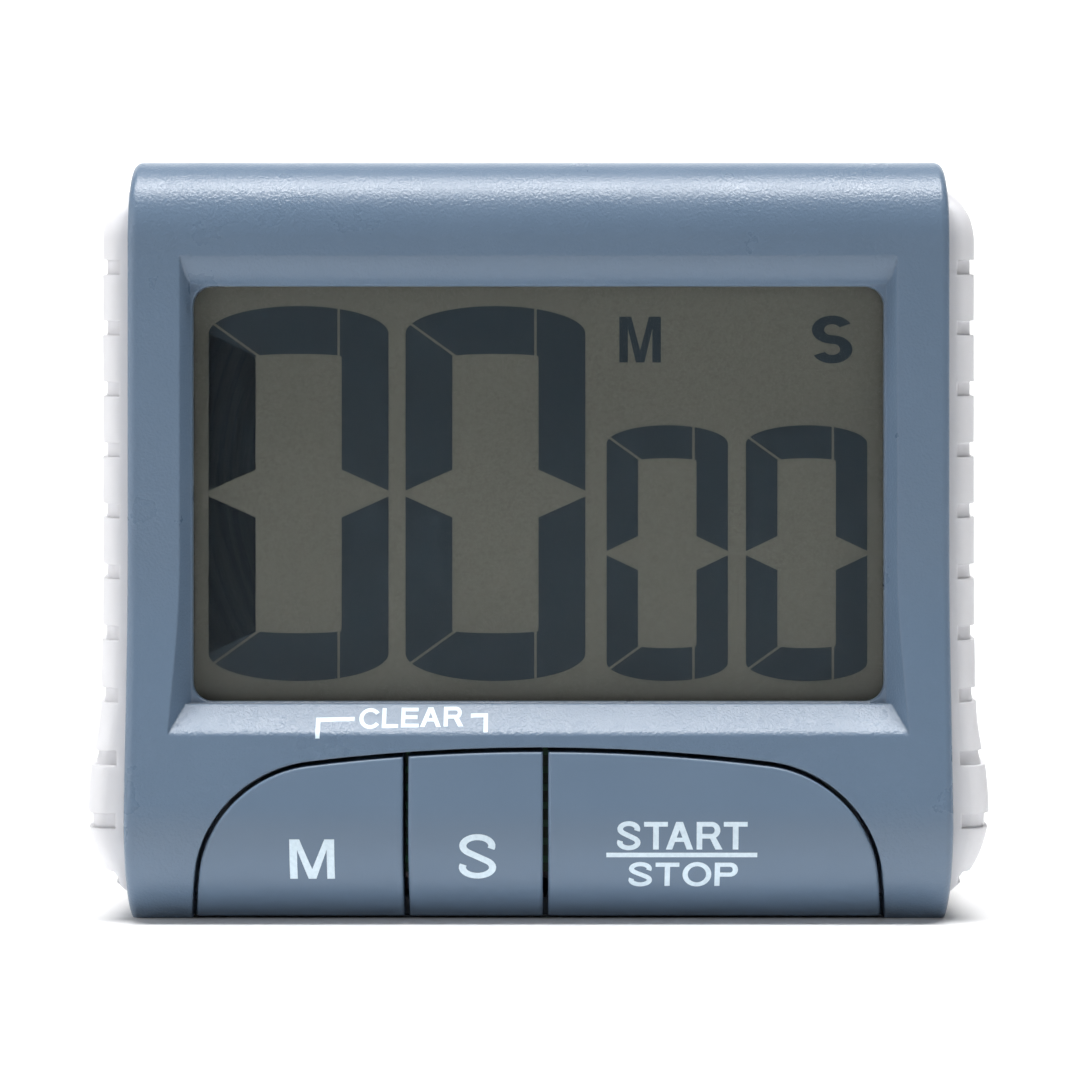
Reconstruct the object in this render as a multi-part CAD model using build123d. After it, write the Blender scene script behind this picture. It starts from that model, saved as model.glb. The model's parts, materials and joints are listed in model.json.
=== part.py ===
from build123d import *
import math
import os

# A digital bench timer: front and rear shells, three keys, a display stack, a board, a battery and a stand.
# Millimetres. X to the right, Y to the back, Z up, origin under the middle of the base.

# Front shell
HEIGHT = 71.2
DEPTH = 25.36
FRONT_HALF_WIDTH = 38.25
WALL = 1.6
PARTING_Y = 2.0
BACK_Y = DEPTH / 2
TOP_RADIUS = 7.4
FACE_Y = -9.8
SLOPE_RADIUS = 60.0
SLOPE_ANGLE = 8.5
BULGE_RADIUS = 10.7
BULGE_Z = 9.5
BULGE_Y = BULGE_RADIUS - BACK_Y
SHELL_EDGE_RADIUS = 0.8

# Display recess and window
RECESS_FLOOR_Y = -8.1
RECESS_HALF_WIDTH = 32.45
RECESS_BOTTOM_Z = 20.2
RECESS_TOP_Z = 59.3
RECESS_SIDE_DRAFT = 27.0
RECESS_MOUTH_Y = -16.0
RAMP_SHELF = 0.8
RAMP_DRAFT = 44.0
RAMP_DEPTH = 2.4
RAMP_LIP_RADIUS = 1.5
RAMP_LIP_ANGLE = 29.5
TOP_ROLL_DRAFT = 56.0
TOP_ROLL_RADIUS = 4.0
TOP_ROLL_ANGLE = 51.0
RECESS_WALL = 1.2
LIP = 1.1
WINDOW_MARGIN = 0.15
WINDOW_CORNER = 1.8

# Key opening and keys
ARCH_TOP_Z = 16.4
ARCH_TOP_RADIUS = 175.0
ARCH_TOP_ANGLE = 7.0
ARCH_CORNER_RADIUS = 12.0
ARCH_CORNER_ANGLE = 75.0
ARCH_GAP = 0.42
KEY_GAP = 0.25
KEY_SPLITS = (-12.25, 0.65)
KEY_CAP = 1.4
KEY_SKIRT = 1.1
KEY_BOTTOM_Z = 0.3
KEY_BACK_Y = -6.1
KEY_FLANGE = 0.8
KEY_FLANGE_BOTTOM_Z = 2.4
KEY_EDGE_RADIUS = 0.3
KEY_POST_RADIUS = 2.2
COLLAR = 1.1
COLLAR_BACK_Y = -7.1
OPENING_BACK_Y = -4.7
KEY_POSTS = {"m_key": (-21.5, 7.6), "s_key": (-5.65, 8.0), "start_stop_key": (14.0, 8.0)}

# Board, its parts and the rubber domes on it
BOARD_FRONT_Y = -3.4
BOARD_BACK_Y = -2.2
DOME_HEIGHT = 1.9
DOME_ROOF = 0.6
DOME_SKIRT = 0.5
PILL_RADIUS = 1.6
PILL_THICKNESS = 0.55
PAD_RADIUS = 2.6
PAD_SPLIT = 0.3
PAD_THICKNESS = 0.03
BLOB_SPOT = (-4.0, 42.0)
BLOB_RADII = (5.5, 3.5)
BLOB_HEIGHT = 1.6
CRYSTAL_RADIUS = 1.0
CRYSTAL_Z = 50.0
RESISTOR_SIZE = (1.6, 0.5, 0.8)
RESISTOR_X = (-12.0, -8.0, 8.0, 12.0)
RESISTOR_Z = 30.0
CAPACITOR_RADIUS = 2.5
CAPACITOR_Z = 34.0

# Display stack, from the front
POLARIZER = 0.2
GLASS = 0.7
CRYSTAL_LAYER = 0.05
DISPLAY_FRONT_Y = RECESS_FLOOR_Y + LIP
DISPLAY_HALF_WIDTH = 34.4
DISPLAY_BOTTOM_Z = 17.6
DISPLAY_TOP_Z = 61.5
FILM_MARGIN = 0.4
REAR_GLASS_BOTTOM_Z = 19.3
STRIP_BOTTOM_Z = 17.8
STRIP_HEIGHT = 1.2
STRIP_HALF_LENGTH = 31.0
STRIP_CLEARANCE = 0.2

# Lit bars of the display: (left, right, bottom, top) of each digit, and its bar and waist sizes
BIG_DIGITS = [(-31.0, -14.1, 22.15, 57.4), (-12.5, 4.4, 22.15, 57.4)]
BIG_BARS = (4.4, 4.5, 2.25)
SMALL_DIGITS = [(6.4, 17.8, 22.15, 46.2), (19.5, 30.9, 22.15, 46.2)]
SMALL_BARS = (2.95, 3.1, 1.6)
DIGIT_END_RISE = 0.154
DIGIT_INNER_RISE = 0.25
DIGIT_GAP = 0.23
DIGIT_SPLIT_SLOPE = 0.72
M_ICON = (7.6, 11.5, 52.1, 56.4)
S_ICON = (25.7, 29.5, 52.0, 56.5)
ICON_STROKE = 0.8

# Rear shell
REAR_HALF_WIDTH = 41.0
HUMP_HALF_WIDTH = 42.0
HUMP_Z = 10.8
HUMP_RADIUS = 13.0
HUMP_TOP_Z = 21.0
SHOULDER_Z = 63.5
SHOULDER_RADIUS = 6.6
SHOULDER_ANGLE = 55.0
CHEEK_INSET = 2.3
CHEEK_EDGE_RADIUS = 1.9
CHEEK_BACK_INSET = 0.8
BACK_WALL = 1.8
BACK_EDGE_RADIUS = 3.0
GROOVE_COUNT = 11
GROOVE_TOP_Z = 60.9
GROOVE_PITCH = 5.7
GROOVE_WIDTH = 1.35
GROOVE_DEPTH = 0.4
GROOVE_INNER_X = 39.2
GROOVE_FRONT_Y = -20.0
GROOVE_BACK_Y = 6.5
GROOVE_PIVOT_Y = -8.0
GROOVE_TILT = 4.5

# Battery (AAA cell) and its bay
CELL_RADIUS = 5.25
CELL_LENGTH = 44.5
CELL_LEFT_X = -21.2
CELL_Y = 5.1
CELL_Z = 12.0
BAY_HALF_WIDTH = 25.2
BAY_HALF_HEIGHT = 5.8
BAY_FLOOR_Y = -0.35
BAY_WALL = 1.0
CONTACT_SHEET = 0.3
CONTACT_HALF_HEIGHT = 1.6
CONTACT_FRONT_Y = -2.2
CONTACT_BACK_Y = 9.6
NUB_RADIUS = 1.9
NUB_LENGTH = 0.9
DOOR_HALF_WIDTH = 25.8
DOOR_HALF_HEIGHT = 6.8
DOOR_THICKNESS = 1.0
DOOR_CLEARANCE = 0.3
HINGE_PIN_RADIUS = 0.45
PIN_CLEARANCE = 0.06

# Stand
STAND_HALF_WIDTH = 13.0
STAND_THICKNESS = 2.0
STAND_BOTTOM_Z = 23.0
STAND_HINGE_Z = 49.0
STAND_PIN_RADIUS = 1.0
STAND_PIN_LENGTH = 1.4
STAND_CLEARANCE = 0.3
HANG_HOLE_RADIUS = 2.0
HANG_HOLE_Z = 27.5

# Magnets, buzzer and screws
MAGNET_RADIUS = 7.5
MAGNET_THICKNESS = 1.9
MAGNET_SPOTS = [(-26.0, 56.0), (26.0, 56.0)]
BUZZER_SPOT = (26.0, 36.0)
BUZZER_RADIUS = 10.0
CERAMIC_RADIUS = 7.0
BUZZER_SHEET = 0.2
BUZZER_RING_HEIGHT = 1.5
BUZZER_RING_WALL = 1.2
SOUND_HOLE_RADIUS = 0.8
SOUND_HOLE_CIRCLE = 4.0
WIRE_RADIUS = 0.5
CASE_SCREW_SPOTS = [(-34.95, 4.6), (34.95, 4.6), (-32.0, 66.4), (32.0, 66.4)]
BOARD_SCREW_SPOTS = [(-34.95, 10.6), (34.95, 10.6), (-20.0, 65.2), (20.0, 65.2)]
SCREW_RADIUS = 1.0
CASE_SCREW_HEAD_RADIUS = 1.9
BOARD_SCREW_HEAD_RADIUS = 1.6
SCREW_HEAD_HEIGHT = 1.3
SCREW_CROSS_REACH = 1.1
SCREW_CROSS_DEPTH = 0.6
SCREW_SEAT_Y = 5.0
CASE_SCREW_TIP_Y = -4.0
BOARD_SCREW_TIP_Y = -6.0
SCREW_END_ROOM = 0.4
BOSS_RADIUS = 1.9

FAR = 60.0


def front_prism(face, y_front, y_back):
    """Extrude a face drawn in (x, z) from y_back forward to y_front."""
    return extrude(Plane.XZ.offset(-y_back) * face, y_back - y_front, dir=(0, -1, 0))


def side_prism(face, half_width):
    """Extrude a face drawn in (y, z) the same way to both sides."""
    return extrude(Plane.YZ.offset(-half_width) * face, 2 * half_width, dir=(1, 0, 0))


def block(x0, x1, y0, y1, z0, z1):
    middle = ((x0 + x1) / 2, (y0 + y1) / 2, (z0 + z1) / 2)
    return Pos(*middle) * Box(x1 - x0, y1 - y0, z1 - z0)


def rod_y(x, z, radius, y0, y1):
    """A cylinder along Y."""
    return front_prism(Pos(x, z) * Circle(radius), y0, y1)


def rod_x(y, z, radius, x0, x1):
    """A cylinder along X."""
    return extrude(Plane.YZ.offset(x0) * Pos(y, z) * Circle(radius), x1 - x0, dir=(1, 0, 0))


def rectangle_between(x0, x1, z0, z1):
    return Pos((x0 + x1) / 2, (z0 + z1) / 2) * Rectangle(x1 - x0, z1 - z0)


def case_profile(inset, back_y):
    """Side view of the front shell forward of back_y, drawn in from its outer surface by inset."""
    lean = math.radians(SLOPE_ANGLE)
    bulge_radius = BULGE_RADIUS - inset
    arc_radius = SLOPE_RADIUS + inset
    arc_y = FACE_Y - SLOPE_RADIUS
    slope_run = arc_y + SLOPE_RADIUS * math.cos(lean) - (BULGE_Y - BULGE_RADIUS * math.cos(lean))
    slope_top_z = BULGE_Z + BULGE_RADIUS * math.sin(lean) + slope_run / math.tan(lean)
    arc_z = slope_top_z + SLOPE_RADIUS * math.sin(lean)
    top_arc_z = HEIGHT - TOP_RADIUS
    bottom_back = (back_y, inset)
    top_back = (back_y, HEIGHT - inset)
    top_arc_start = (FACE_Y + TOP_RADIUS, HEIGHT - inset)
    face_top = (FACE_Y + inset, top_arc_z)
    face_bottom = (FACE_Y + inset, arc_z)
    slope_top = (arc_y + arc_radius * math.cos(lean), arc_z - arc_radius * math.sin(lean))
    slope_bottom = (BULGE_Y - bulge_radius * math.cos(lean), BULGE_Z + bulge_radius * math.sin(lean))
    bulge_end = (BULGE_Y - math.sqrt(bulge_radius**2 - (BULGE_Z - inset) ** 2), inset)
    edges = [
        Line(top_back, top_arc_start),
        TangentArc(top_arc_start, face_top, tangent=(-1, 0)),
        Line(face_top, face_bottom),
        TangentArc(face_bottom, slope_top, tangent=(0, -1)),
        Line(slope_top, slope_bottom),
        TangentArc(slope_bottom, bulge_end, tangent=(-math.sin(lean), -math.cos(lean))),
        Line(bulge_end, bottom_back),
        Line(bottom_back, top_back),
    ]
    return make_face(edges)


def rear_outline(inset):
    """Front view of the rear shell: straight sides, a soft hump near the base and rounded shoulders."""
    hump_x = HUMP_HALF_WIDTH - HUMP_RADIUS
    hump_radius = HUMP_RADIUS - inset
    base_x = hump_x + math.sqrt(hump_radius**2 - (HUMP_Z - inset) ** 2)
    step = (HUMP_HALF_WIDTH - REAR_HALF_WIDTH) / 2
    rise = (HUMP_TOP_Z - HUMP_Z) / 2
    bend = 2 * math.atan(step / rise)
    middle_x = REAR_HALF_WIDTH + step - inset * math.cos(bend)
    middle_z = HUMP_Z + rise - inset * math.sin(bend)
    turn = math.radians(SHOULDER_ANGLE)
    shoulder_x = REAR_HALF_WIDTH - SHOULDER_RADIUS
    crown_rise = HEIGHT - SHOULDER_Z - SHOULDER_RADIUS * math.sin(turn)
    crown_radius = crown_rise / (1 - math.sin(turn))
    crown_x = shoulder_x + (SHOULDER_RADIUS - crown_radius) * math.cos(turn)
    shoulder_end = (
        shoulder_x + (SHOULDER_RADIUS - inset) * math.cos(turn),
        SHOULDER_Z + (SHOULDER_RADIUS - inset) * math.sin(turn),
    )
    base = (base_x, inset)
    hump = (HUMP_HALF_WIDTH - inset, HUMP_Z)
    middle = (middle_x, middle_z)
    side_bottom = (REAR_HALF_WIDTH - inset, HUMP_TOP_Z)
    side_top = (REAR_HALF_WIDTH - inset, SHOULDER_Z)
    crown = (crown_x, HEIGHT - inset)
    half = [
        Line((0, inset), base),
        TangentArc(hump, base, tangent=(0, -1)),
        TangentArc(hump, middle, tangent=(0, 1)),
        TangentArc(side_bottom, middle, tangent=(0, -1)),
        Line(side_bottom, side_top),
        TangentArc(side_top, shoulder_end, tangent=(0, 1)),
        TangentArc(crown, shoulder_end, tangent=(1, 0)),
        Line(crown, (0, HEIGHT - inset)),
    ]
    right = make_face(half + [Line((0, HEIGHT - inset), (0, inset))])
    return right + mirror(right, Plane.YZ)


def key_arch(outset):
    """Front view of the key opening, grown by outset; its foot hangs below the base."""
    angle = math.radians(ARCH_TOP_ANGLE)
    radius = ARCH_TOP_RADIUS + outset
    centre_z = ARCH_TOP_Z - ARCH_TOP_RADIUS
    corner_start = (radius * math.sin(angle), centre_z + radius * math.cos(angle))
    top = ThreePointArc(
        (-corner_start[0], corner_start[1]), (0, ARCH_TOP_Z + outset), corner_start
    )
    corner = JernArc(corner_start, top % 1, ARCH_CORNER_RADIUS + outset, -ARCH_CORNER_ANGLE)
    foot_reach = (corner @ 1).Y + 2
    side = Line(corner @ 1, corner @ 1 + (corner % 1) * foot_reach)
    foot = Line(side @ 1, ((side @ 1).X * -1, (side @ 1).Y))
    return make_face([top, corner, side, mirror(corner, Plane.YZ), mirror(side, Plane.YZ), foot])


def recess(grow):
    """The space of the display recess, its walls moved outwards by grow.

    Its floor is flat and its sides are drafted. At the foot a narrow shelf leads to a ramp that rolls
    over onto the front, and at the top the floor's edge rolls up into the front.
    """
    floor_y = RECESS_FLOOR_Y + (LIP if grow else 0)
    low = (floor_y, RECESS_BOTTOM_Z - grow)
    high = (floor_y, RECESS_TOP_Z + grow)
    ramp_drop = RAMP_DEPTH * math.tan(math.radians(RAMP_DRAFT))
    ramp_start = (floor_y - RAMP_SHELF, low[1])
    shelf = Line(low, ramp_start)
    ramp = Line(ramp_start, (ramp_start[0] - RAMP_DEPTH, low[1] - ramp_drop))
    lip = JernArc(ramp @ 1, ramp % 1, RAMP_LIP_RADIUS, RAMP_LIP_ANGLE)
    roll_start = math.radians(TOP_ROLL_DRAFT)
    roll = JernArc(high, (-math.sin(roll_start), math.cos(roll_start)), TOP_ROLL_RADIUS, -TOP_ROLL_ANGLE)
    mouth_low = (RECESS_MOUTH_Y, (lip @ 1).Y)
    mouth_high = (RECESS_MOUTH_Y, (roll @ 1).Y)
    edges = [
        Line(low, high), roll, Line(roll @ 1, mouth_high), Line(mouth_high, mouth_low),
        Line(mouth_low, lip @ 1), lip, ramp, shelf,
    ]
    side_view = side_prism(make_face(edges), FAR)
    half = RECESS_HALF_WIDTH + grow
    mouth_half = half + (floor_y - RECESS_MOUTH_Y) * math.tan(math.radians(RECESS_SIDE_DRAFT))
    corners = [
        (-half, floor_y), (half, floor_y), (mouth_half, RECESS_MOUTH_Y), (-mouth_half, RECESS_MOUTH_Y),
    ]
    top_view = extrude(make_face(Polyline(*corners, close=True)), HEIGHT, dir=(0, 0, 1))
    return side_view & top_view


FRONT_CORE = side_prism(case_profile(0.02, PARTING_Y), FRONT_HALF_WIDTH)


def screw(x, z, head_radius, head_y, tip_y):
    """A pan-head screw driven forwards: its head rests at head_y and has a crossed recess."""
    top_y = head_y + SCREW_HEAD_HEIGHT
    head = rod_y(x, z, head_radius, head_y, top_y)
    head = fillet(head.edges().filter_by(GeomType.CIRCLE).sort_by(Axis.Y)[-1], 0.4)
    shank = rod_y(x, z, SCREW_RADIUS, tip_y, head_y)
    reach = SCREW_CROSS_REACH
    half = 0.25
    cross_y = top_y - SCREW_CROSS_DEPTH
    cross = block(x - reach, x + reach, cross_y, top_y + 1, z - half, z + half)
    cross += block(x - half, x + half, cross_y, top_y + 1, z - reach, z + reach)
    return head + shank - cross


def make_front_shell():
    outer = side_prism(case_profile(0, PARTING_Y), FRONT_HALF_WIDTH)
    side_edges = [
        edge
        for edge in outer.edges()
        if abs(abs(edge.center().X) - FRONT_HALF_WIDTH) < 0.01
        and edge.center().Y < PARTING_Y - 0.01
        and edge.center().Z > 0.01
    ]
    outer = fillet(side_edges, SHELL_EDGE_RADIUS)
    shell = outer - side_prism(case_profile(WALL, PARTING_Y + 1), FRONT_HALF_WIDTH - WALL)
    shell += outer & recess(RECESS_WALL)
    shell += outer & front_prism(key_arch(COLLAR), -FAR, COLLAR_BACK_Y)
    shell -= recess(0)
    for x, z in CASE_SCREW_SPOTS:
        shell += outer & rod_y(x, z, BOSS_RADIUS, -FAR, PARTING_Y)
    for x, z in BOARD_SCREW_SPOTS:
        shell += outer & rod_y(x, z, BOSS_RADIUS, -FAR, BOARD_FRONT_Y)
    window = RectangleRounded(
        2 * (RECESS_HALF_WIDTH - WINDOW_MARGIN),
        RECESS_TOP_Z - RECESS_BOTTOM_Z - 2 * WINDOW_MARGIN,
        WINDOW_CORNER,
    )
    window_z = (RECESS_TOP_Z + RECESS_BOTTOM_Z) / 2
    shell -= front_prism(Pos(0, window_z) * window, -FAR, DISPLAY_FRONT_Y + 0.5)
    shell -= front_prism(key_arch(0), -FAR, OPENING_BACK_Y)
    hole_radius = SCREW_RADIUS + 0.02
    for x, z in CASE_SCREW_SPOTS:
        shell -= rod_y(x, z, hole_radius, CASE_SCREW_TIP_Y - SCREW_END_ROOM, PARTING_Y + 1)
    for x, z in BOARD_SCREW_SPOTS:
        shell -= rod_y(x, z, hole_radius, BOARD_SCREW_TIP_Y - SCREW_END_ROOM, BOARD_FRONT_Y + 1)
    return shell


def sample_points(edge):
    return [edge.position_at(part) for part in (0.1, 0.5, 0.9)]


def on_front(edge):
    """True for an edge that lies on the outer surface of the case."""
    return not any(FRONT_CORE.is_inside(point) for point in sample_points(edge))


def make_key(name, x0, x1):
    """One key: a cap with skirts, a flange that keeps it in and a post over its dome."""
    span = rectangle_between(x0, x1, KEY_BOTTOM_Z, ARCH_TOP_Z + 2)
    outline = key_arch(-ARCH_GAP) & span
    body = side_prism(case_profile(0, KEY_BACK_Y), FRONT_HALF_WIDTH)
    cap = body & front_prism(outline, -FAR, KEY_BACK_Y)
    rim = [edge for edge in cap.edges() if edge.center().Y < KEY_BACK_Y - 0.3 and on_front(edge)]
    cap = fillet(rim, KEY_EDGE_RADIUS)
    hollow_span = rectangle_between(
        x0 + KEY_SKIRT, x1 - KEY_SKIRT, KEY_BOTTOM_Z + KEY_SKIRT, ARCH_TOP_Z + 2
    )
    inside = key_arch(-ARCH_GAP - KEY_SKIRT)
    hollow = side_prism(case_profile(KEY_CAP, KEY_BACK_Y + 1), FRONT_HALF_WIDTH)
    hollow = hollow & front_prism(inside & hollow_span, -FAR, KEY_BACK_Y + 1)
    post_x, post_z = KEY_POSTS[name]
    post_back_y = BOARD_FRONT_Y - DOME_HEIGHT
    post = rod_y(post_x, post_z, KEY_POST_RADIUS, -BACK_Y + 1, post_back_y)
    flange_span = rectangle_between(x0, x1, KEY_FLANGE_BOTTOM_Z, ARCH_TOP_Z + 4)
    flange_face = (key_arch(KEY_FLANGE) - inside) & flange_span
    flange = front_prism(flange_face, KEY_BACK_Y - KEY_FLANGE, KEY_BACK_Y)
    return cap - hollow + post + flange


def make_dome(x, z):
    """A silicone dome with its flange on the board, axis along Y."""
    roof = DOME_HEIGHT - DOME_ROOF
    points = [
        (3.0, 0), (4.8, 0), (4.8, DOME_SKIRT), (3.6, DOME_SKIRT), (2.7, DOME_HEIGHT), (0, DOME_HEIGHT),
        (0, roof), (2.2, roof),
    ]
    profile = make_face(Polyline(*points, close=True))
    spun = revolve(Plane.XZ * profile, Axis.Z, 360)
    return Pos(x, BOARD_FRONT_Y, z) * Rot(90, 0, 0) * spun


def bulged_rectangle(x0, x1, z0, z1, rise):
    """A rectangle whose top and bottom bulge out by rise as half ellipses."""
    middle = (x0 + x1) / 2
    shape = rectangle_between(x0, x1, z0, z1)
    for z in (z0, z1):
        shape += Pos(middle, z) * Ellipse((x1 - x0) / 2, rise)
    return shape


def seven_segment_zero(x0, x1, z0, z1, bar, cap_bar, waist):
    """A lit zero: six bars with a rounded top and bottom, split by fine gaps and a notched waist."""
    rise = DIGIT_END_RISE * (x1 - x0)
    left = x0 + bar
    right = x1 - bar
    bottom = z0 + cap_bar
    top = z1 - cap_bar
    inner_rise = DIGIT_INNER_RISE
    shape = bulged_rectangle(x0, x1, z0 + rise, z1 - rise, rise)
    shape -= bulged_rectangle(left, right, bottom + inner_rise, top - inner_rise, inner_rise)
    middle = (z0 + z1) / 2
    tip = waist / 8
    notch = [
        (x0 - 1, middle + tip), (x0, middle + tip), (left, middle + waist), (right, middle + waist),
        (x1, middle + tip), (x1 + 1, middle + tip), (x1 + 1, middle - tip), (x1, middle - tip),
        (right, middle - waist), (left, middle - waist), (x0, middle - tip), (x0 - 1, middle - tip),
    ]
    shape -= make_face(Polyline(*notch, close=True))
    split_x0 = right - 0.4
    split_x1 = split_x0 + DIGIT_GAP
    overlap = 0.01
    shape -= rectangle_between(split_x0, split_x1, top - inner_rise - overlap, z1 + 1)
    shape -= rectangle_between(split_x0, split_x1, z0 - 1, bottom + inner_rise + overlap)
    inner_end = 0.5
    outer_end = bar + 1
    for edge_z, direction in ((top, DIGIT_SPLIT_SLOPE), (bottom, -DIGIT_SPLIT_SLOPE)):
        start = (left + inner_end, edge_z - inner_end * direction)
        end = (left - outer_end, edge_z + outer_end * direction)
        shape -= trace(Line(start, end), DIGIT_GAP)
    return shape


def letter_m(x0, x1, z0, z1):
    stem = ICON_STROKE
    slant = 1.4 * ICON_STROKE
    middle = (x0 + x1) / 2
    point = ICON_STROKE / 2
    points = [
        (x0, z0), (x0, z1), (x0 + slant, z1), (middle, z0 + slant), (x1 - slant, z1), (x1, z1), (x1, z0),
        (x1 - stem, z0), (x1 - stem, z1 - slant), (middle + point, z0), (middle - point, z0),
        (x0 + stem, z1 - slant), (x0 + stem, z0),
    ]
    return make_face(Polyline(*points, close=True))


def letter_s(x0, x1, z0, z1):
    """Two joined bowls, each three quarters of a circle, stretched to the width."""
    bowl = (z1 - z0 - ICON_STROKE) / 4
    bowls = [CenterArc((0, bowl), bowl, 25, 245), CenterArc((0, -bowl), bowl, 90, -245)]
    glyph = trace(bowls, ICON_STROKE)
    stretch = (x1 - x0) / (2 * bowl + ICON_STROKE)
    glyph = scale(glyph, by=(stretch, 1, 1))
    return Pos((x0 + x1) / 2, (z0 + z1) / 2) * glyph


def make_segments():
    """Lit bars of the four digits and the two icons, in the liquid-crystal layer."""
    face = letter_m(*M_ICON) + letter_s(*S_ICON)
    for digit in BIG_DIGITS:
        face += seven_segment_zero(*digit, *BIG_BARS)
    for digit in SMALL_DIGITS:
        face += seven_segment_zero(*digit, *SMALL_BARS)
    y0 = DISPLAY_FRONT_Y + POLARIZER + GLASS
    return front_prism(face, y0, y0 + CRYSTAL_LAYER)


def display_sheet(y0, thickness, bottom_z, margin=0.0):
    half = DISPLAY_HALF_WIDTH - margin
    return block(-half, half, y0, y0 + thickness, bottom_z, DISPLAY_TOP_Z - margin)


def make_display():
    """The display's layers, each resting on the one in front of it."""
    front_glass_y = DISPLAY_FRONT_Y + POLARIZER
    rear_glass_y = front_glass_y + GLASS + CRYSTAL_LAYER
    reflector_y = rear_glass_y + GLASS
    film_z = DISPLAY_BOTTOM_Z + FILM_MARGIN
    reflector_z = REAR_GLASS_BOTTOM_Z + FILM_MARGIN
    return {
        "lcd_front_polarizer": display_sheet(DISPLAY_FRONT_Y, POLARIZER, film_z, FILM_MARGIN),
        "lcd_front_glass": display_sheet(front_glass_y, GLASS, DISPLAY_BOTTOM_Z),
        "lcd_segments": make_segments(),
        "lcd_rear_glass": display_sheet(rear_glass_y, GLASS, REAR_GLASS_BOTTOM_Z),
        "lcd_reflector": display_sheet(reflector_y, POLARIZER, reflector_z, FILM_MARGIN),
    }


def make_holder():
    """The frame that spaces the display off the board, with a slot for the connector strip."""
    front_y = DISPLAY_FRONT_Y + 2 * POLARIZER + 2 * GLASS + CRYSTAL_LAYER
    slot_half = STRIP_HALF_LENGTH + STRIP_CLEARANCE
    slot_low = STRIP_BOTTOM_Z - STRIP_CLEARANCE
    slot_high = STRIP_BOTTOM_Z + STRIP_HEIGHT + STRIP_CLEARANCE
    holder = block(-36.0, 36.0, front_y, BOARD_FRONT_Y, slot_low - 0.8, 62.2)
    holder -= block(-31.5, 31.5, front_y - 1, BOARD_FRONT_Y + 1, 22.4, 59.0)
    holder -= block(-slot_half, slot_half, front_y - 1, BOARD_FRONT_Y + 1, slot_low, slot_high)
    return holder


def make_connector_strip():
    glass_back_y = DISPLAY_FRONT_Y + POLARIZER + GLASS
    strip_top_z = STRIP_BOTTOM_Z + STRIP_HEIGHT
    half = STRIP_HALF_LENGTH
    return block(-half, half, glass_back_y, BOARD_FRONT_Y, STRIP_BOTTOM_Z, strip_top_z)


def make_board():
    outline = rectangle_between(-36.2, 36.2, 7.6, 62.6) + rectangle_between(-29.0, 29.0, 3.9, 67.4)
    board = front_prism(outline, BOARD_FRONT_Y, BOARD_BACK_Y)
    for x, z in BOARD_SCREW_SPOTS:
        board -= rod_y(x, z, SCREW_RADIUS + 0.1, BOARD_FRONT_Y - 1, BOARD_BACK_Y + 1)
    return board


def make_board_parts():
    """What is soldered or printed on the board."""
    pads = []
    for x, z in KEY_POSTS.values():
        pad = rod_y(x, z, PAD_RADIUS, BOARD_FRONT_Y - PAD_THICKNESS, BOARD_FRONT_Y)
        half = PAD_SPLIT / 2
        pads.append(pad - block(x - half, x + half, -FAR, FAR, z - FAR, z + FAR))
    blob_x, blob_z = BLOB_SPOT
    cone = Cone(*BLOB_RADII, BLOB_HEIGHT, align=(Align.CENTER, Align.CENTER, Align.MIN))
    blob = Pos(blob_x, BOARD_BACK_Y, blob_z) * Rot(-90, 0, 0) * cone
    blob = fillet(blob.edges().sort_by(Axis.Y)[-1], 1.0)
    width, height, length = RESISTOR_SIZE
    low_z = RESISTOR_Z - length / 2
    resistors = []
    for x in RESISTOR_X:
        low_x = x - width / 2
        resistor = block(low_x, low_x + width, BOARD_BACK_Y, BOARD_BACK_Y + height, low_z, low_z + length)
        resistors.append(resistor)
    return {
        "key_contacts": Compound(pads),
        "controller_blob": blob,
        "watch_crystal": rod_x(BOARD_BACK_Y + CRYSTAL_RADIUS, CRYSTAL_Z, CRYSTAL_RADIUS, 4, 10),
        "chip_resistors": Compound(resistors),
        "capacitor": rod_x(BOARD_BACK_Y + CAPACITOR_RADIUS, CAPACITOR_Z, CAPACITOR_RADIUS, -27, -20),
    }


def cheek_body(inset):
    """The block that the side cheeks are cut from, rounded at the front and the back, shrunk by inset."""
    back_y = BACK_Y - CHEEK_BACK_INSET - inset
    profile = case_profile(CHEEK_INSET + inset, back_y)
    body = side_prism(profile, HUMP_HALF_WIDTH + 1) & front_prism(rear_outline(inset), -FAR, back_y)
    rim = [
        edge
        for edge in body.edges()
        if abs(edge.center().X) > FRONT_HALF_WIDTH - 2 and not runs_along_y(edge)
    ]
    return fillet(rim, CHEEK_EDGE_RADIUS - inset)


def runs_along_y(edge):
    return abs((edge @ 0).Y - (edge @ 1).Y) > 0.9 * edge.length


def groove_cutter(z):
    """A round-ended groove on both cheeks, leaning up towards the back."""
    length = GROOVE_BACK_Y - GROOVE_FRONT_Y
    middle_y = (GROOVE_BACK_Y + GROOVE_FRONT_Y) / 2
    from_side = Pos(middle_y - GROOVE_PIVOT_Y, 0) * SlotOverall(length, GROOVE_WIDTH)
    from_side = Pos(GROOVE_PIVOT_Y, z) * Rot(0, 0, GROOVE_TILT) * from_side
    bar = side_prism(from_side, HUMP_HALF_WIDTH + 3)
    return bar - block(-GROOVE_INNER_X, GROOVE_INNER_X, -FAR, FAR, -FAR, FAR + HEIGHT)


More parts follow.
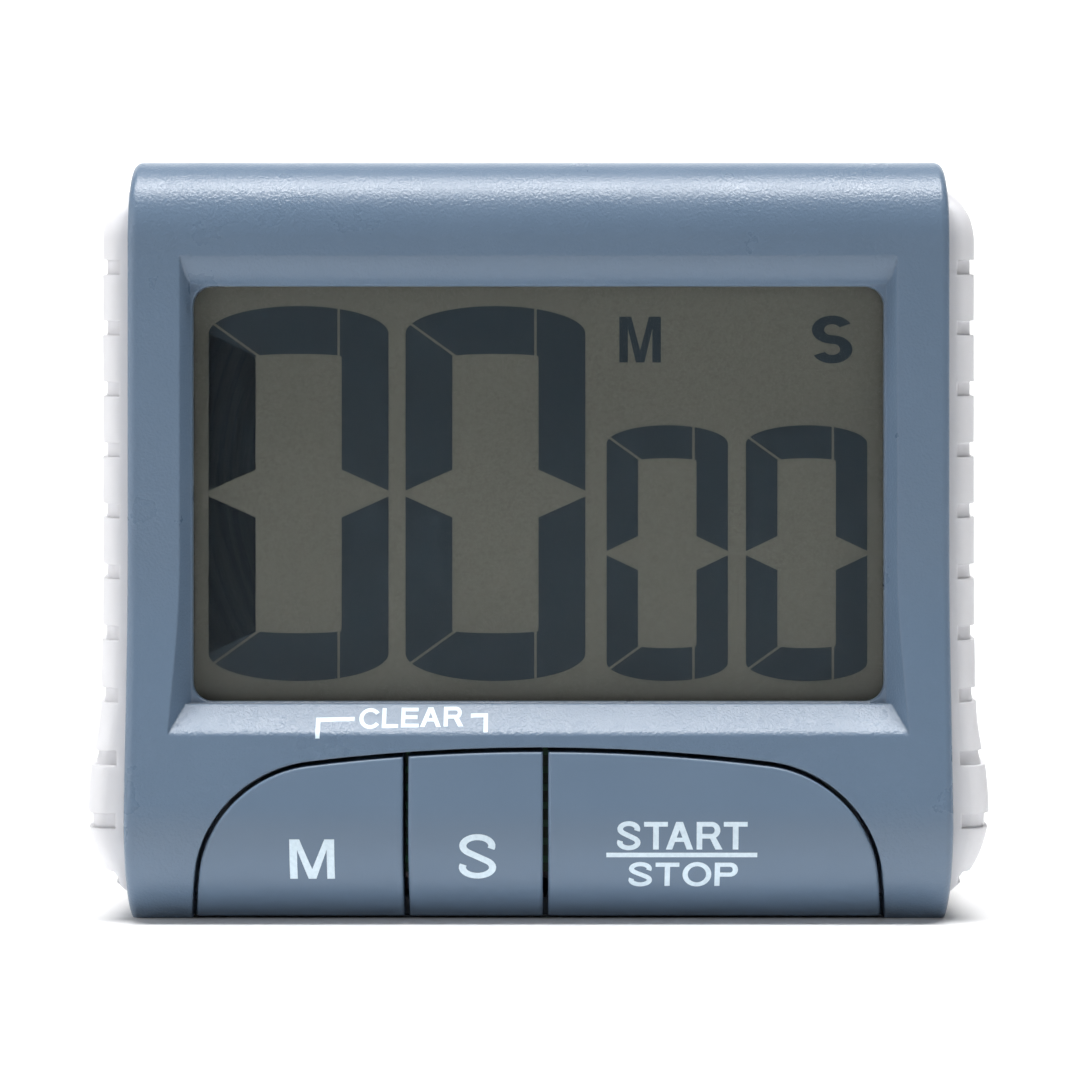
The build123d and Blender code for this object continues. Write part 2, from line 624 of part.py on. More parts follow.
def make_rear_shell():
    tub = block(-FRONT_HALF_WIDTH, FRONT_HALF_WIDTH, PARTING_Y, BACK_Y, 0, HEIGHT)
    tub = fillet(tub.edges().filter_by(Axis.Y).sort_by(Axis.Z)[-2:], SHELL_EDGE_RADIUS)
    tub = fillet(tub.faces().sort_by(Axis.Y)[-1].edges(), BACK_EDGE_RADIUS)
    between = block(-FRONT_HALF_WIDTH, FRONT_HALF_WIDTH, -FAR, FAR, -1, HEIGHT + 1)
    cheeks = cheek_body(0) - between
    core = cheek_body(GROOVE_DEPTH)
    for index in range(GROOVE_COUNT):
        cheeks -= groove_cutter(GROOVE_TOP_Z - index * GROOVE_PITCH) - core
    shell = tub + cheeks
    inner_half_width = FRONT_HALF_WIDTH - WALL
    shell -= block(-inner_half_width, inner_half_width, 0, BACK_Y - BACK_WALL, WALL, HEIGHT - WALL)
    return fit_out_back(shell)


def fit_out_back(shell):
    """Add the bay, the stand's recess, magnet seats, screw posts and sound holes."""
    inner_back_y = BACK_Y - BACK_WALL
    bay_low = CELL_Z - BAY_HALF_HEIGHT
    bay_high = CELL_Z + BAY_HALF_HEIGHT
    bay_x = BAY_HALF_WIDTH + 2.4
    recess_x = STAND_HALF_WIDTH + STAND_CLEARANCE
    recess_floor_y = BACK_Y - STAND_THICKNESS - 0.5
    recess_low = STAND_BOTTOM_Z - STAND_CLEARANCE
    recess_high = STAND_HINGE_Z + STAND_THICKNESS / 2 + 0.6
    rim_x = recess_x + 2
    seat_y = BACK_Y - MAGNET_THICKNESS
    shell += block(-bay_x, bay_x, BAY_FLOOR_Y - BAY_WALL, inner_back_y, bay_low - 2, bay_high + 2)
    shell += block(-rim_x, rim_x, recess_floor_y - 1.4, inner_back_y, bay_high + 1, recess_high + 1.4)
    for x, z in MAGNET_SPOTS:
        shell += rod_y(x, z, MAGNET_RADIUS + 1.3, seat_y - 1.3, inner_back_y)
    inside = block(-FRONT_HALF_WIDTH, FRONT_HALF_WIDTH, PARTING_Y, inner_back_y, 0.5, HEIGHT - 0.5)
    for x, z in CASE_SCREW_SPOTS:
        shell += rod_y(x, z, CASE_SCREW_HEAD_RADIUS + 1.0, PARTING_Y, inner_back_y) & inside
    x, z = BUZZER_SPOT
    ring = rod_y(x, z, BUZZER_RADIUS, inner_back_y - BUZZER_RING_HEIGHT, inner_back_y)
    shell += ring - rod_y(x, z, BUZZER_RADIUS - BUZZER_RING_WALL, 0, FAR)
    shell -= block(-BAY_HALF_WIDTH, BAY_HALF_WIDTH, BAY_FLOOR_Y, FAR, bay_low, bay_high)
    shell -= door_opening()
    shell -= block(-recess_x, recess_x, recess_floor_y, FAR, recess_low, recess_high)
    shell -= block(-6, 6, recess_floor_y + 0.3, FAR, recess_low - 2.2, recess_low + 1)
    pin_x = STAND_HALF_WIDTH + STAND_PIN_LENGTH + 0.2
    shell -= rod_x(*stand_hinge(), STAND_PIN_RADIUS + PIN_CLEARANCE, -pin_x, pin_x)
    for x, z in MAGNET_SPOTS:
        shell -= rod_y(x, z, MAGNET_RADIUS + 0.1, seat_y, FAR)
    for x, z in CASE_SCREW_SPOTS:
        shell -= rod_y(x, z, CASE_SCREW_HEAD_RADIUS + 0.2, SCREW_SEAT_Y, FAR)
        shell -= rod_y(x, z, SCREW_RADIUS + 0.15, PARTING_Y - 0.5, FAR)
    for x, z in sound_hole_spots():
        shell -= rod_y(x, z, SOUND_HOLE_RADIUS, inner_back_y - 0.5, FAR)
    slot = CONTACT_HALF_HEIGHT + 0.2
    for x in (-BAY_HALF_WIDTH + 0.15, BAY_HALF_WIDTH - 0.15):
        shell -= block(x - 0.2, x + 0.2, -2, BAY_FLOOR_Y + 0.5, CELL_Z - slot, CELL_Z + slot)
    return shell


def door_opening():
    """The shallow opening for the battery door, with the holes for its hinge pins."""
    low = CELL_Z - DOOR_HALF_HEIGHT - DOOR_CLEARANCE
    high = CELL_Z + DOOR_HALF_HEIGHT + DOOR_CLEARANCE
    half = DOOR_HALF_WIDTH + DOOR_CLEARANCE
    opening = block(-half, half, BACK_Y - DOOR_THICKNESS - 0.1, FAR, low, high)
    pin_x = half + 1.2
    return opening + rod_x(*door_hinge(), HINGE_PIN_RADIUS + PIN_CLEARANCE, -pin_x, pin_x)


def sound_hole_spots():
    x, z = BUZZER_SPOT
    spots = [BUZZER_SPOT]
    for index in range(6):
        angle = math.radians(60 * index)
        spots.append((x + SOUND_HOLE_CIRCLE * math.cos(angle), z + SOUND_HOLE_CIRCLE * math.sin(angle)))
    return spots


def door_hinge():
    """Place (y, z) of the door's hinge pins, in the middle of its rounded lower edge."""
    return BACK_Y - DOOR_THICKNESS / 2, CELL_Z - DOOR_HALF_HEIGHT + DOOR_THICKNESS / 2


def stand_hinge():
    """Place (y, z) of the stand's hinge pins."""
    return BACK_Y - 0.2 - STAND_THICKNESS / 2, STAND_HINGE_Z


def make_battery_door():
    y, z = door_hinge()
    top_z = CELL_Z + DOOR_HALF_HEIGHT
    door = block(-DOOR_HALF_WIDTH, DOOR_HALF_WIDTH, BACK_Y - DOOR_THICKNESS, BACK_Y, z, top_z)
    door += rod_x(y, z, DOOR_THICKNESS / 2, -DOOR_HALF_WIDTH, DOOR_HALF_WIDTH)
    door += rod_x(y, z, HINGE_PIN_RADIUS, -DOOR_HALF_WIDTH - 1.0, DOOR_HALF_WIDTH + 1.0)
    latch_top = CELL_Z + BAY_HALF_HEIGHT - 0.3
    door += block(-4, 4, BACK_Y - DOOR_THICKNESS - 1.0, BACK_Y - DOOR_THICKNESS, latch_top - 0.8, latch_top)
    for index in range(5):
        groove_z = top_z - 1.6 - index * 0.9
        door -= block(-6, 6, BACK_Y - 0.3, FAR, groove_z - 0.2, groove_z + 0.2)
    return door


def make_stand():
    y, z = stand_hinge()
    half = STAND_THICKNESS / 2
    outline = rectangle_between(-STAND_HALF_WIDTH, STAND_HALF_WIDTH, STAND_BOTTOM_Z, z)
    outline = fillet(outline.vertices().sort_by(Axis.Y)[:2], 3.0)
    stand = front_prism(outline, y - half, y + half)
    stand += rod_x(y, z, half, -STAND_HALF_WIDTH, STAND_HALF_WIDTH)
    pin_end = STAND_HALF_WIDTH + STAND_PIN_LENGTH
    stand += rod_x(y, z, STAND_PIN_RADIUS - 0.01, -pin_end, pin_end)
    stand -= rod_y(0, HANG_HOLE_Z, HANG_HOLE_RADIUS, 0, FAR)
    return stand


def make_battery():
    """The cell with its raised positive end, and the metal parts that touch its two ends."""
    cell_end_x = CELL_LEFT_X + CELL_LENGTH
    body_end_x = cell_end_x - NUB_LENGTH
    cell = rod_x(CELL_Y, CELL_Z, CELL_RADIUS, CELL_LEFT_X, body_end_x)
    cell = fillet(cell.edges().filter_by(GeomType.CIRCLE), 0.5)
    cell += rod_x(CELL_Y, CELL_Z, NUB_RADIUS, body_end_x - 0.1, cell_end_x)
    wall_x = BAY_HALF_WIDTH
    low = CELL_Z - CONTACT_HALF_HEIGHT
    high = CELL_Z + CONTACT_HALF_HEIGHT
    contact = block(wall_x - CONTACT_SHEET, wall_x, CONTACT_FRONT_Y, CONTACT_BACK_Y, low, high)
    contact += rod_x(CELL_Y, CELL_Z, NUB_RADIUS - 0.5, cell_end_x, wall_x - CONTACT_SHEET)
    plate = block(-wall_x, CONTACT_SHEET - wall_x, CONTACT_FRONT_Y, CONTACT_BACK_Y, low, high)
    bend_x = CELL_LEFT_X - CONTACT_SHEET / 2
    leaf_line = Polyline(
        (CONTACT_SHEET / 2 - wall_x, CONTACT_BACK_Y - 0.3),
        (bend_x - 1.2, CELL_Y + 2.3),
        (bend_x, CELL_Y + 0.6),
        (bend_x, CELL_Y - 0.6),
        (bend_x - 1.6, CELL_Y - 2.7),
    )
    leaf = Pos(0, 0, low) * extrude(trace(leaf_line, CONTACT_SHEET), high - low)
    leaf &= block(-wall_x, CELL_LEFT_X, 0, CONTACT_BACK_Y, 0, HEIGHT)
    return {"battery_cell": cell, "battery_contact": contact, "battery_spring": plate + leaf}


def make_buzzer():
    x, z = BUZZER_SPOT
    back = BACK_Y - BACK_WALL - BUZZER_RING_HEIGHT
    ceramic_back = back - BUZZER_SHEET
    front = ceramic_back - BUZZER_SHEET
    wires = []
    for wire_x, joint_y in ((x - 3, front), (x + 8.4, ceramic_back)):
        path = FilletPolyline(
            (wire_x, joint_y, z),
            (wire_x, joint_y - 4, z),
            (wire_x, BOARD_BACK_Y + 4, z + 5),
            (wire_x, BOARD_BACK_Y, z + 5),
            radius=[2.0, 2.0],
        )
        start = Plane(origin=path @ 0, z_dir=path % 0)
        wires.append(sweep(start * Circle(WIRE_RADIUS), path))
    return {
        "buzzer_plate": rod_y(x, z, BUZZER_RADIUS - 0.2, ceramic_back, back),
        "buzzer_ceramic": rod_y(x, z, CERAMIC_RADIUS, front, ceramic_back),
        "buzzer_wires": Compound(wires),
    }


def make_screws():
    case = []
    for x, z in CASE_SCREW_SPOTS:
        case.append(screw(x, z, CASE_SCREW_HEAD_RADIUS, SCREW_SEAT_Y, CASE_SCREW_TIP_Y))
    board = []
    for x, z in BOARD_SCREW_SPOTS:
        board.append(screw(x, z, BOARD_SCREW_HEAD_RADIUS, BOARD_BACK_Y, BOARD_SCREW_TIP_Y))
    return {"case_screws": Compound(case), "board_screws": Compound(board)}


def make_keys():
    """The three keys, and the dome and conductive pill behind each."""
    edges = (-FRONT_HALF_WIDTH, *KEY_SPLITS, FRONT_HALF_WIDTH)
    made = {}
    for index, (name, spot) in enumerate(KEY_POSTS.items()):
        made[name] = make_key(name, edges[index] + KEY_GAP, edges[index + 1] - KEY_GAP)
        made[name + "_dome"] = make_dome(*spot)
        pill_front_y = BOARD_FRONT_Y - DOME_HEIGHT + DOME_ROOF
        made[name + "_pill"] = rod_y(*spot, PILL_RADIUS, pill_front_y, pill_front_y + PILL_THICKNESS)
    return made


def make_magnets():
    back_y = BACK_Y - 0.05
    magnets = []
    for x, z in MAGNET_SPOTS:
        magnets.append(rod_y(x, z, MAGNET_RADIUS, BACK_Y - MAGNET_THICKNESS, back_y))
    return Compound(magnets)


def make_all():
    nodes = {
        "front_shell": make_front_shell(),
        "rear_shell": make_rear_shell(),
        "lcd_holder": make_holder(),
        "connector_strip": make_connector_strip(),
        "main_board": make_board(),
        "battery_door": make_battery_door(),
        "stand_leg": make_stand(),
        "magnets": make_magnets(),
    }
    nodes.update(make_keys())
    nodes.update(make_display())
    nodes.update(make_board_parts())
    nodes.update(make_battery())
    nodes.update(make_buzzer())
    nodes.update(make_screws())
    return nodes


os.makedirs("parts", exist_ok=True)
for node, shape in make_all().items():
    shape.label = node
    export_step(shape, f"parts/{node}.step")
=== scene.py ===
import json
import math

import bmesh
import bpy
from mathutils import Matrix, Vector
from mathutils.bvhtree import BVHTree
from mathutils.geometry import tessellate_polygon

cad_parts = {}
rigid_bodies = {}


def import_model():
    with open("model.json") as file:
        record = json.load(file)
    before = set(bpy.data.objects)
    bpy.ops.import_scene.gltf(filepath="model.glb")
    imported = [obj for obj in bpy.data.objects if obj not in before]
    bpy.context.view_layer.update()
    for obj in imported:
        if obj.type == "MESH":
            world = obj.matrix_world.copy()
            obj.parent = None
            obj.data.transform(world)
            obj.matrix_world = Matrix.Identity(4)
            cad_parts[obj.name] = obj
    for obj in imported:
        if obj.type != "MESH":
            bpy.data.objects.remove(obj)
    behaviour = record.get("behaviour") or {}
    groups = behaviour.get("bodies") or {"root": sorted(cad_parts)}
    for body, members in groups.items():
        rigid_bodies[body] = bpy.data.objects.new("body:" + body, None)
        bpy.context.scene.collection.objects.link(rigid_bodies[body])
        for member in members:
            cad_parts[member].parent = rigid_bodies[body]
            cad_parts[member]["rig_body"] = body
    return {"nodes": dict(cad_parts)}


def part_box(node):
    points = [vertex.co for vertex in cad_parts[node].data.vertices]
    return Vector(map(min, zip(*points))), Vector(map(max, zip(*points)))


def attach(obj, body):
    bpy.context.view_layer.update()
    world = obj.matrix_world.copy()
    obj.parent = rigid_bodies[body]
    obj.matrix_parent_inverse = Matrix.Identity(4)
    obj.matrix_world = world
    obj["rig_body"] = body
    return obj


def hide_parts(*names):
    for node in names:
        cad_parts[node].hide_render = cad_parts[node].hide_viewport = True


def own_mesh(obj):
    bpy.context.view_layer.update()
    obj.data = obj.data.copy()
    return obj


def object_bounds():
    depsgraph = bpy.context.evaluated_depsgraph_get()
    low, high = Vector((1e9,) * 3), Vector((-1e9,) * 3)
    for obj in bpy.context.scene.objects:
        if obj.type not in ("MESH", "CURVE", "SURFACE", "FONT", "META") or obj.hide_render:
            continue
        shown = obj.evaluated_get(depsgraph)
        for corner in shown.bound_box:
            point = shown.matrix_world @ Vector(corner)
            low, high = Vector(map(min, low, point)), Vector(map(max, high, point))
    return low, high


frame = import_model()
cad_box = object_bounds()

MM = 0.001
nodes = frame["nodes"]

# Camera: level, straight in front of the case
CAMERA_DISTANCE = 300 * MM
CAMERA_HEIGHT = 41.5 * MM
CAMERA_SIDE = 0.14 * MM
CAMERA_SHIFT = -0.060
FOCAL_LENGTH = 107.7
KEY_FACE_SETBACK = 2.9 * MM
NEAR_CLIP = 0.01

# Printed legends: text, node, x span, z span, width of an upright stroke, and how much the letters are
# stretched sideways, in millimetres
LEGENDS = {
    "legend_m": ("M", "m_key", (-22.93, -18.80), (4.23, 8.00), 0.70, 1.0),
    "legend_s": ("S", "s_key", (-7.35, -3.90), (4.35, 8.39), 0.66, 1.0),
    "legend_start": ("START", "start_stop_key", (7.22, 19.23), (7.05, 9.62), 0.52, 1.0),
    "legend_stop": ("STOP", "start_stop_key", (8.31, 18.40), (3.52, 5.80), 0.48, 1.13),
    "legend_clear": ("CLEAR", "front_shell", (-16.61, -6.95), (18.17, 19.87), 0.38, 1.16),
}
LEGEND_BAR = ((6.25, 20.15), (6.32, 6.75))
CLEAR_TILT = math.tan(math.radians(1.2))
BRACKET_STROKE = 0.40
INK_THICKNESS = 0.015 * MM
INK_ROW = 0.22 * MM

# Letter widths and closer pairs, as parts of the letter height
LETTER_WIDTHS = {
    "M": 1.095, "S": 0.845, "T": 0.85, "A": 0.975, "R": 0.93, "O": 1.03, "P": 0.83, "C": 0.94, "L": 0.765,
    "E": 0.83,
}
CLOSE_PAIRS = {"TA": 0.195, "RT": 0.085, "EA": 0.08}

# The two halves of the bracket beside CLEAR: corner x, corner z, arm and leg, in millimetres
BRACKETS = {
    "legend_bracket_left": (-20.60, 19.0, 3.55, 1.8),
    "legend_bracket_right": (-4.68, 19.4, -1.6, 1.65),
}

# Battery cell: copper band, bare tip and bare foot, measured from the ends
COPPER_BAND = 9 * MM
BARE_TIP = 1.2 * MM
BARE_FOOT = 0.5 * MM

# Rubber domes: radius and height of the section's corners in millimetres, and the number of steps round a
# dome
DOME_SECTION = [
    (3.0, 0), (4.65, 0), (4.8, 0.12), (4.8, 0.4), (4.68, 0.5), (3.75, 0.5), (3.5, 0.62), (2.85, 1.6),
    (2.75, 1.8), (2.6, 1.9), (1.2, 1.88), (0, 1.88), (0, 1.3), (2.1, 1.3), (2.3, 1.15), (2.9, 0.2),
]
DOME_TURNS = 48

# White sweep, in metres
SWEEP_HALF_WIDTH = 1.5
SWEEP_FRONT_Y = -1.2
SWEEP_BEND_Y = 0.45
SWEEP_BEND_RADIUS = 0.25
SWEEP_BEND_STEPS = 12
SWEEP_TOP_Z = 1.3

# Area lights: place, point aimed at, width and depth in metres, power in watts, spread in degrees
MIDDLE = (0, 0, 0.035)
LIGHTS = {
    "overhead": ((0, -0.07, 0.62), (0, 0, 0), 0.60, 0.15, 6.4, 180),
    "front_left": ((-0.60, -0.60, 0.36), MIDDLE, 0.40, 0.40, 1.6, 180),
    "front_right": ((0.70, -0.60, 0.30), MIDDLE, 0.40, 0.40, 0.2, 180),
    "side_left": ((-0.60, -0.05, 0.20), MIDDLE, 0.30, 0.30, 0.8, 180),
    "wall_wash": ((0, 0.22, 0.80), (0, 0.7, 0.15), 1.4, 0.3, 4.5, 110),
}
AMBIENT_STRENGTH = 0.04


def make_camera():
    face_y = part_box("m_key")[0].y + KEY_FACE_SETBACK
    data = bpy.data.cameras.new("camera")
    data.lens = FOCAL_LENGTH
    data.shift_y = CAMERA_SHIFT
    data.clip_start = NEAR_CLIP
    camera = bpy.data.objects.new("camera", data)
    camera.location = (CAMERA_SIDE, face_y - CAMERA_DISTANCE, CAMERA_HEIGHT)
    camera.rotation_euler = (math.radians(90), 0, 0)
    bpy.context.scene.collection.objects.link(camera)
    bpy.context.scene.camera = camera


# ---------------------------------------------------------------- materials


def start_material(name):
    material = bpy.data.materials.new(name)
    material.use_nodes = True
    tree = material.node_tree
    shader = tree.nodes["Principled BSDF"]
    coords = tree.nodes.new("ShaderNodeTexCoord").outputs["Object"]
    return material, tree, shader, coords


def add_node(tree, kind, inputs=None, **settings):
    node = tree.nodes.new(kind)
    for key, value in settings.items():
        setattr(node, key, value)
    for key, value in (inputs or {}).items():
        if isinstance(value, bpy.types.NodeSocket):
            tree.links.new(value, node.inputs[key])
        else:
            node.inputs[key].default_value = value
    return node


def compute(tree, operation, first, second):
    return add_node(tree, "ShaderNodeMath", {0: first, 1: second}, operation=operation).outputs[0]


def noise(tree, coords, size, detail=2.0):
    """Noise whose features are about size millimetres across, from 0 to 1."""
    inputs = {"Vector": coords, "Scale": 1 / (size * MM), "Detail": detail, "Roughness": 0.55}
    return add_node(tree, "ShaderNodeTexNoise", inputs).outputs["Fac"]


def between(tree, factor, low, high):
    """Map a 0 to 1 value to low to high."""
    inputs = {"Value": factor, "From Min": 0.25, "From Max": 0.75, "To Min": low, "To Max": high}
    return add_node(tree, "ShaderNodeMapRange", inputs).outputs["Result"]


def mix_colour(tree, factor, first, second):
    node = add_node(tree, "ShaderNodeMix", data_type="RGBA")
    for socket, value in ((node.inputs[0], factor), (node.inputs[6], first), (node.inputs[7], second)):
        if isinstance(value, bpy.types.NodeSocket):
            tree.links.new(value, socket)
        else:
            socket.default_value = value
    return node.outputs[2]


def shaded(colour, amount):
    return (*(channel * amount for channel in colour), 1.0)


def bump(tree, shader, height, strength, distance, edge_radius=0.0):
    inputs = {"Height": height, "Strength": strength, "Distance": distance * MM}
    if edge_radius:
        bevel = add_node(tree, "ShaderNodeBevel", {"Radius": edge_radius * MM}, samples=4)
        inputs["Normal"] = bevel.outputs["Normal"]
    normal = add_node(tree, "ShaderNodeBump", inputs).outputs["Normal"]
    tree.links.new(normal, shader.inputs["Normal"])


def plastic(name, colour, roughness, grain_size, grain_depth, edge_radius=0.25, subsurface=0.0):
    """Moulded plastic: a fine eroded grain, a slow drift in tone, and softly rounded edges."""
    material, tree, shader, coords = start_material(name)
    drift = noise(tree, coords, 18.0, 4.0)
    tint = mix_colour(tree, between(tree, drift, 0.0, 1.0), shaded(colour, 0.965), shaded(colour, 1.03))
    tree.links.new(tint, shader.inputs["Base Color"])
    smears = noise(tree, coords, 7.0, 5.0)
    tree.links.new(between(tree, smears, roughness - 0.035, roughness + 0.045), shader.inputs["Roughness"])
    grain = noise(tree, coords, grain_size, 3.0)
    bump(tree, shader, grain, 1.0, grain_depth, edge_radius)
    if subsurface:
        shader.inputs["Subsurface Weight"].default_value = subsurface
        shader.inputs["Subsurface Radius"].default_value = (1.0, 0.95, 0.9)
        shader.inputs["Subsurface Scale"].default_value = 2.0 * MM
    return material


def metal(name, colour, roughness, grain_size=0.4):
    material, tree, shader, coords = start_material(name)
    stretch = add_node(tree, "ShaderNodeMapping", {"Vector": coords, "Scale": (1.0, 1.0, 12.0)})
    lines = noise(tree, stretch.outputs["Vector"], grain_size * 6, 3.0)
    tint = mix_colour(tree, between(tree, lines, 0.0, 1.0), shaded(colour, 0.85), shaded(colour, 1.05))
    tree.links.new(tint, shader.inputs["Base Color"])
    tree.links.new(between(tree, lines, roughness - 0.08, roughness + 0.1), shader.inputs["Roughness"])
    shader.inputs["Metallic"].default_value = 1.0
    bump(tree, shader, noise(tree, coords, grain_size), 0.4, 0.01)
    return material


def rubber(name, colour, roughness=0.7, grain_size=0.5):
    material, tree, shader, coords = start_material(name)
    cloud = noise(tree, coords, 3.0, 4.0)
    tint = mix_colour(tree, between(tree, cloud, 0.0, 1.0), shaded(colour, 0.85), shaded(colour, 1.1))
    tree.links.new(tint, shader.inputs["Base Color"])
    shader.inputs["Roughness"].default_value = roughness
    bump(tree, shader, noise(tree, coords, grain_size), 0.5, 0.02)
    return material


def clear_sheet(name, colour, opacity, roughness, grain_size=0.0, grain_depth=0.0):
    """A clear sheet: nearly all light passes, and the rest shows its gloss and a faint haze."""
    material, tree, shader, coords = start_material(name)
    shader.inputs["Base Color"].default_value = (*colour, 1)
    shader.inputs["Alpha"].default_value = opacity
    shader.inputs["Roughness"].default_value = roughness
    if grain_size:
        bump(tree, shader, noise(tree, coords, grain_size), 1.0, grain_depth)
    return material


def reflector():
    """The grey film behind the liquid crystal, with its fine metallic fleck."""
    material, tree, shader, coords = start_material("display_reflector")
    colour = (0.140, 0.142, 0.122)
    fleck = noise(tree, coords, 0.22, 2.0)
    cloud = noise(tree, coords, 14.0, 3.0)
    fine = mix_colour(tree, between(tree, fleck, 0.0, 1.0), shaded(colour, 0.86), shaded(colour, 1.14))
    broad = mix_colour(tree, between(tree, cloud, 0.0, 0.10), fine, shaded(colour, 0.8))
    tree.links.new(broad, shader.inputs["Base Color"])
    shader.inputs["Roughness"].default_value = 0.55
    shader.inputs["Specular IOR Level"].default_value = 0.3
    bump(tree, shader, fleck, 0.4, 0.01)
    return material


def segments():
    material, tree, shader, coords = start_material("display_segments")
    colour = (0.0065, 0.020, 0.031)
    cloud = noise(tree, coords, 6.0, 3.0)
    tint = mix_colour(tree, between(tree, cloud, 0.0, 1.0), shaded(colour, 0.9), shaded(colour, 1.15))
    tree.links.new(tint, shader.inputs["Base Color"])
    shader.inputs["Roughness"].default_value = 0.6
    return material


def circuit_board():
    """Green solder mask over lighter square-cornered tracks."""
    material, tree, shader, coords = start_material("circuit_board")
    turned = add_node(tree, "ShaderNodeMapping", {"Vector": coords, "Rotation": (math.radians(90), 0, 0)})
    inputs = {
        "Vector": turned.outputs["Vector"], "Scale": 1.0, "Mortar Size": 0.35 * MM, "Brick Width": 9 * MM,
        "Row Height": 1.7 * MM, "Color1": (0.005, 0.085, 0.035, 1), "Color2": (0.006, 0.10, 0.04, 1),
        "Mortar": (0.02, 0.21, 0.085, 1),
    }
    tracks = add_node(tree, "ShaderNodeTexBrick", inputs)
    tree.links.new(tracks.outputs["Color"], shader.inputs["Base Color"])
    shader.inputs["Roughness"].default_value = 0.32
    bump(tree, shader, tracks.outputs["Fac"], 0.6, 0.03)
    return material


def striped(name, first, second, pitch):
    """Fine stripes across X, as the layers of a connector strip."""
    material, tree, shader, coords = start_material(name)
    waves = add_node(tree, "ShaderNodeTexWave", {"Vector": coords, "Scale": 1 / (pitch * MM) / 3})
    tint = mix_colour(tree, waves.outputs["Fac"], (*first, 1), (*second, 1))
    tree.links.new(tint, shader.inputs["Base Color"])
    shader.inputs["Roughness"].default_value = 0.55
    bump(tree, shader, waves.outputs["Fac"], 0.3, 0.02)
    return material


def cell_jacket():
    """A plain black jacket with a copper band and a bare steel tip at the positive end."""
    material, tree, shader, coords = start_material("cell_jacket")
    low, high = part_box("battery_cell")
    across = add_node(tree, "ShaderNodeSeparateXYZ", {"Vector": coords}).outputs["X"]
    band = compute(tree, "GREATER_THAN", across, high.x - COPPER_BAND)
    tip = compute(tree, "GREATER_THAN", across, high.x - BARE_TIP)
    foot = compute(tree, "LESS_THAN", across, low.x + BARE_FOOT)
    bare = compute(tree, "MAXIMUM", tip, foot)
    jacket = mix_colour(tree, band, (0.012, 0.012, 0.014, 1), (0.45, 0.17, 0.06, 1))
    tree.links.new(mix_colour(tree, bare, jacket, (0.6, 0.6, 0.6, 1)), shader.inputs["Base Color"])
    tree.links.new(compute(tree, "MAXIMUM", band, bare), shader.inputs["Metallic"])
    shader.inputs["Roughness"].default_value = 0.3
    bump(tree, shader, noise(tree, coords, 1.2), 0.3, 0.01)
    return material


def ink():
    """Pale blue-white pad-printed ink, a touch thinner in places."""
    material, tree, shader, coords = start_material("legend_ink")
    thin = noise(tree, coords, 0.35, 3.0)
    tint = mix_colour(tree, between(tree, thin, 0.0, 1.0), (0.55, 0.67, 0.76, 1), (0.68, 0.80, 0.88, 1))
    tree.links.new(tint, shader.inputs["Base Color"])
    shader.inputs["Roughness"].default_value = 0.45
    bump(tree, shader, noise(tree, coords, 0.2), 0.3, 0.005)
    return material


def paint_nodes():
    blue = (0.112, 0.166, 0.240)
    white = (0.66, 0.66, 0.685)
    shell = plastic("blue_grey_shell", blue, 0.29, 0.26, 0.06, edge_radius=0.30)
    keys = plastic("blue_grey_keys", blue, 0.40, 0.30, 0.004, edge_radius=0.15)
    rear = plastic("white_rear", white, 0.42, 0.35, 0.008, edge_radius=0.20, subsurface=0.25)
    inner = plastic("inner_plastic", (0.72, 0.72, 0.70), 0.5, 0.5, 0.01, edge_radius=0.15)
    epoxy = plastic("black_epoxy", (0.012, 0.012, 0.013), 0.25, 0.8, 0.01)
    ceramic = plastic("buzzer_ceramic", (0.62, 0.60, 0.55), 0.45, 0.4, 0.01)
    sleeve = plastic("capacitor_sleeve", (0.012, 0.014, 0.03), 0.3, 0.6, 0.004)
    glass = clear_sheet("display_glass", (0.02, 0.03, 0.03), 0.03, 0.05)
    film = clear_sheet("display_film", (0.010, 0.012, 0.014), 0.06, 0.34, 0.16, 0.02)
    background = reflector()
    steel = metal("bright_steel", (0.62, 0.61, 0.58), 0.3)
    paint = {
        "front_shell": shell, "m_key": keys, "s_key": keys, "start_stop_key": keys,
        "rear_shell": rear, "battery_door": rear, "stand_leg": rear,
        "lcd_front_polarizer": film, "lcd_front_glass": glass, "lcd_rear_glass": background,
        "lcd_segments": segments(), "lcd_reflector": background, "lcd_holder": inner,
        "connector_strip": striped("connector_strip", (0.75, 0.74, 0.70), (0.03, 0.03, 0.03), 0.5),
        "main_board": circuit_board(), "key_contacts": rubber("carbon", (0.02, 0.02, 0.02), 0.6),
        "controller_blob": epoxy, "chip_resistors": epoxy, "watch_crystal": steel,
        "capacitor": sleeve, "board_screws": steel, "case_screws": steel,
        "buzzer_plate": metal("brass_sheet", (0.78, 0.58, 0.25), 0.28), "buzzer_ceramic": ceramic,
        "buzzer_wires": rubber("wire_sleeve", (0.45, 0.02, 0.02), 0.45),
        "battery_cell": cell_jacket(), "battery_spring": steel, "battery_contact": steel,
        "magnets": metal("magnet_face", (0.16, 0.16, 0.165), 0.42, 0.6),
    }
    carbon = rubber("carbon_pill", (0.018, 0.018, 0.018), 0.7)
    for key in ("m_key", "s_key", "start_stop_key"):
        paint[key + "_pill"] = carbon
    for node, material in paint.items():
        slots = nodes[node].material_slots
        for index in range(len(slots)):
            slots[index].material = material


# ---------------------------------------------------------------- printed legends


def surface_finder(node):
    """A function that gives the front surface point and normal of a CAD node at (x, z)."""
    mesh = nodes[node].data
    tree = BVHTree.FromPolygons([v.co for v in mesh.vertices], [p.vertices for p in mesh.polygons])
    start_y = cad_box[0][1] - 5 * MM

    def find(x, z):
        point, normal, _, _ = tree.ray_cast(Vector((x, start_y, z)), Vector((0, 1, 0)))
        return point, normal

    return find


